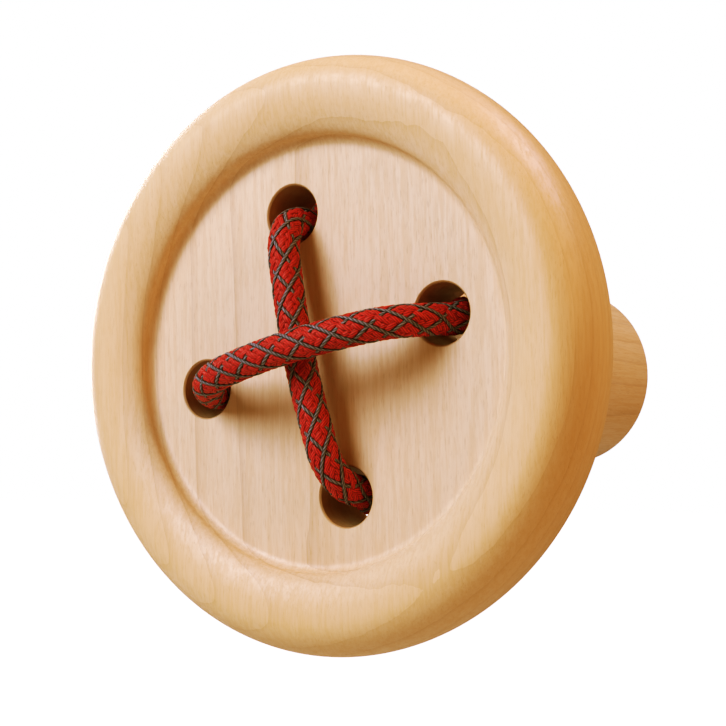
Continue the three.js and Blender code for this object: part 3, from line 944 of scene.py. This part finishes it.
def yarn(name, bright, deep, count, twist, roughness, edge_shade):
    """A yarn of fine filaments. The last argument is how far painted shade sinks its edges to the deep
    colour.
    """
    material, tree, shader = new_material(name)
    uv = tree.nodes.new("ShaderNodeUVMap")
    uv.uv_map = "along_yarn"
    threads = place_group(tree, filament_group, Vector=uv.outputs["UV"], Count=count, Twist=twist)
    shade = maths(tree, "MULTIPLY", threads.outputs["Thread"], THREAD_SHARE)
    patches = maths(tree, "MULTIPLY", threads.outputs["Patch"], PATCH_SHARE)
    colour = mix(tree, maths(tree, "ADD", shade, patches, clamp=True), deep, bright)
    parts = tree.nodes.new("ShaderNodeSeparateXYZ")
    tree.links.new(uv.outputs["UV"], parts.inputs[0])
    top = maths(tree, "SINE", maths(tree, "MULTIPLY", parts.outputs["Y"], 2 * math.pi))
    # Painted shade: the yarn's edges and underside, where it dips among its neighbours, sink to the deep
    # colour.
    edge_shade_mask = ramp(tree, top, EDGE_SHADE_FROM, EDGE_SHADE_TO, 1.0, 0.0)
    colour = mix(tree, maths(tree, "MULTIPLY", edge_shade_mask, edge_shade), colour, deep)
    tree.links.new(colour, shader.inputs["Base Color"])
    shader.inputs["Roughness"].default_value = roughness
    shader.inputs["Specular IOR Level"].default_value = YARN_GLOSS
    bump = tree.nodes.new("ShaderNodeBump")
    bump.inputs["Strength"].default_value = FILAMENT_STRENGTH
    bump.inputs["Distance"].default_value = FILAMENT_DEPTH
    tree.links.new(threads.outputs["Thread"], bump.inputs["Height"])
    tree.links.new(bump.outputs["Normal"], shader.inputs["Normal"])
    return material


red_yarn = yarn("red_yarn", (0.92, 0.056, 0.075, 1), (0.25, 0.009, 0.011, 1),
                count=7.0, twist=1.4, roughness=0.46, edge_shade=0.85)
finish_with(red_right, red_yarn)
finish_with(red_left, red_yarn)
# On the grey tracer the dark edges are partly its own black plies and partly painted shade.
finish_with(grey_yarns, yarn("grey_yarn", (0.44, 0.36, 0.42, 1), (0.012, 0.009, 0.010, 1),
                             count=4.0, twist=2.6, roughness=0.55, edge_shade=0.95))
finish_with(cord_core, yarn("core_yarn", (0.10, 0.008, 0.007, 1), (0.03, 0.003, 0.003, 1),
                            count=20.0, twist=0.5, roughness=0.7, edge_shade=0.0))
print("yarn on", red_right.name, red_left.name, grey_yarns.name, cord_core.name)

# %% [markdown]
# ### Metal and nylon
#
# The insert, the bolt and the plug are bought parts: machined brass, steel with a dull zinc plating,
# and grey moulded nylon. One group gives all three a little uneven handling dust and fine scratches.

# %% Build the handling group
handling_group, ins, outs = new_group(
    "handling",
    [("Vector", "Vector", None), ("Scratch scale", "Float", 900.0)],
    [("Dust", "Float"), ("Scratch", "Float")])
dust = ramp(handling_group, noise(handling_group, ins.outputs["Vector"], 240.0, 4.0, 0.6), 0.42, 0.66)
handling_group.links.new(dust, outs.inputs["Dust"])
ringwise = vector_maths(handling_group, "MULTIPLY", ins.outputs["Vector"], (0.12, 1, 0.12))
scratch = noise(handling_group, ringwise, ins.outputs["Scratch scale"], 4.0, 0.65)
handling_group.links.new(scratch, outs.inputs["Scratch"])
print("group for the bought parts", handling_group.name)


# %% Make the fixing's materials
SCRATCH_ROUGHNESS = 0.12
SCRATCH_STRENGTH = 0.3


def bought(name, clean, dusty, metallic, smooth_rough, dusty_rough, bump_depth):
    """A bought part's finish: one colour, a little dust, and fine scratches."""
    material, tree, shader = new_material(name)
    place = tree.nodes.new("ShaderNodeTexCoord")
    handling_and_rim_shade = place_group(tree, handling_group, Vector=place.outputs["Object"])
    tree.links.new(mix(tree, handling_and_rim_shade.outputs["Dust"], clean, dusty), shader.inputs["Base Color"])
    rough = maths(tree, "ADD", maths(tree, "MULTIPLY", handling_and_rim_shade.outputs["Scratch"], SCRATCH_ROUGHNESS),
                  ramp(tree, handling_and_rim_shade.outputs["Dust"], 0.0, 1.0, smooth_rough, dusty_rough))
    tree.links.new(rough, shader.inputs["Roughness"])
    shader.inputs["Metallic"].default_value = metallic
    bump = tree.nodes.new("ShaderNodeBump")
    bump.inputs["Strength"].default_value = SCRATCH_STRENGTH
    bump.inputs["Distance"].default_value = bump_depth
    tree.links.new(handling_and_rim_shade.outputs["Scratch"], bump.inputs["Height"])
    tree.links.new(bump.outputs["Normal"], shader.inputs["Normal"])
    return material


finish_with(insert, bought("brass_machined", (0.78, 0.55, 0.22, 1), (0.62, 0.42, 0.17, 1),
                           metallic=1.0, smooth_rough=0.22, dusty_rough=0.40, bump_depth=0.03 * MM))
finish_with(bolt, bought("zinc_plate", (0.62, 0.64, 0.66, 1), (0.46, 0.47, 0.48, 1),
                         metallic=1.0, smooth_rough=0.26, dusty_rough=0.46, bump_depth=0.03 * MM))
finish_with(plug, bought("grey_nylon", (0.24, 0.26, 0.28, 1), (0.32, 0.33, 0.34, 1),
                         metallic=0.0, smooth_rough=0.42, dusty_rough=0.6, bump_depth=0.05 * MM))
print("fixing finished:", insert.name, bolt.name, plug.name)

# %% [markdown]
# ## The studio
#
# A pale floor lies well below the hook, and the background is white. One large, slightly cool soft
# light stands up and to the left in front of the button, so the cord's shadows fall to the right and
# down. A weak warm one grazes the button from the right and turns the slope inside the rim's left side
# honey coloured. Two more stand behind, one high on the right and one low on the left, for the post
# and the back. The room itself fills the shadows with a dim warm light, as wooden furniture would.

# %% Lay the floor
FLOOR_HEIGHT = -0.34
FLOOR_SIZE = 16
FLOOR_GLOW = 1.0             # evens the floor out to the background's white, and lights nothing

deselect()
bpy.ops.mesh.primitive_plane_add(size=FLOOR_SIZE, location=(0, 0, FLOOR_HEIGHT))
floor = bpy.context.object
floor.name = "floor"
floor_material, floor_tree, floor_shader = new_material("white_floor")
floor_shader.inputs["Base Color"].default_value = (0.60, 0.54, 0.47, 1)
floor_shader.inputs["Roughness"].default_value = 0.9
floor_shader.inputs["Emission Color"].default_value = (1, 1, 1, 1)
seen_directly = floor_tree.nodes.new("ShaderNodeLightPath").outputs["Is Camera Ray"]
floor_glow = maths(floor_tree, "MULTIPLY", seen_directly, FLOOR_GLOW)
floor_tree.links.new(floor_glow, floor_shader.inputs["Emission Strength"])
finish_with(floor, floor_material)
print(floor.name, "at", FLOOR_HEIGHT)


# %% Set the lights
def soft_light(name, azimuth, elevation, distance, size, power, colour):
    """A square light that faces the button from the given direction."""
    azimuth, elevation = math.radians(azimuth), math.radians(elevation)
    aim = Vector((0, BUTTON_FRONT, 0))
    away = Vector((math.sin(azimuth) * math.cos(elevation), -math.cos(azimuth) * math.cos(elevation),
                   math.sin(elevation)))
    bpy.ops.object.light_add(type="AREA", location=aim + away * distance)
    light = bpy.context.object
    light.name = name
    light.data.size = size
    light.data.energy = power
    light.data.color = colour
    light.rotation_euler = (-away).to_track_quat("-Z", "Y").to_euler()
    print(name, "at", [round(value, 2) for value in light.location])


soft_light("key_light", azimuth=-25, elevation=31, distance=0.8, size=0.45, power=7.0,
           colour=(0.70, 0.83, 0.90))
soft_light("warm_light", azimuth=80, elevation=22, distance=0.9, size=0.4, power=1.7,
           colour=(1, 0.60, 0.28))
soft_light("rear_light", azimuth=125, elevation=55, distance=0.9, size=0.4, power=4.0,
           colour=(0.84, 0.93, 1))
soft_light("back_light", azimuth=248, elevation=14, distance=0.9, size=0.5, power=5.5,
           colour=(0.78, 0.90, 1))

# %% Surround it with a white studio
WARM_FILL = (0.22, 0.088, 0.026, 1)
WHITE = (1, 1, 1, 1)

world = bpy.data.worlds.new("white_studio")
bpy.context.scene.world = world
world.use_nodes = True
background = world.node_tree.nodes["Background"]
path = world.node_tree.nodes.new("ShaderNodeLightPath")
studio = mix(world.node_tree, path.outputs["Is Camera Ray"], WARM_FILL, WHITE)
world.node_tree.links.new(studio, background.inputs["Color"])
print("world", world.name)

# %% [markdown]
# The picture is developed with a gentle S-curve, as a product photographer would do: shadows sink a
# little and gain colour, and the light wood stays clean. Blue also goes through a curve of its own, so
# the shadows turn warmer and the lights a little cooler.

# %% Develop the picture
TONE_POINTS = [(0.04, 0.018), (0.10, 0.062), (0.20, 0.165), (0.30, 0.30), (0.45, 0.49), (0.70, 0.75)]
BLUE_POINTS = [(0.03, 0.014), (0.10, 0.065), (0.20, 0.18), (0.33, 0.36), (0.55, 0.60)]

view = bpy.context.scene.view_settings
view.view_transform = "Standard"
view.use_curve_mapping = True
blue_curve, tone_curve = view.curve_mapping.curves[2], view.curve_mapping.curves[3]
for curve, points in ((tone_curve, TONE_POINTS), (blue_curve, BLUE_POINTS)):
    for exposed, developed in points:
        curve.points.new(exposed, developed)
view.curve_mapping.update()
print("tone curve points", len(tone_curve.points), "blue curve points", len(blue_curve.points))
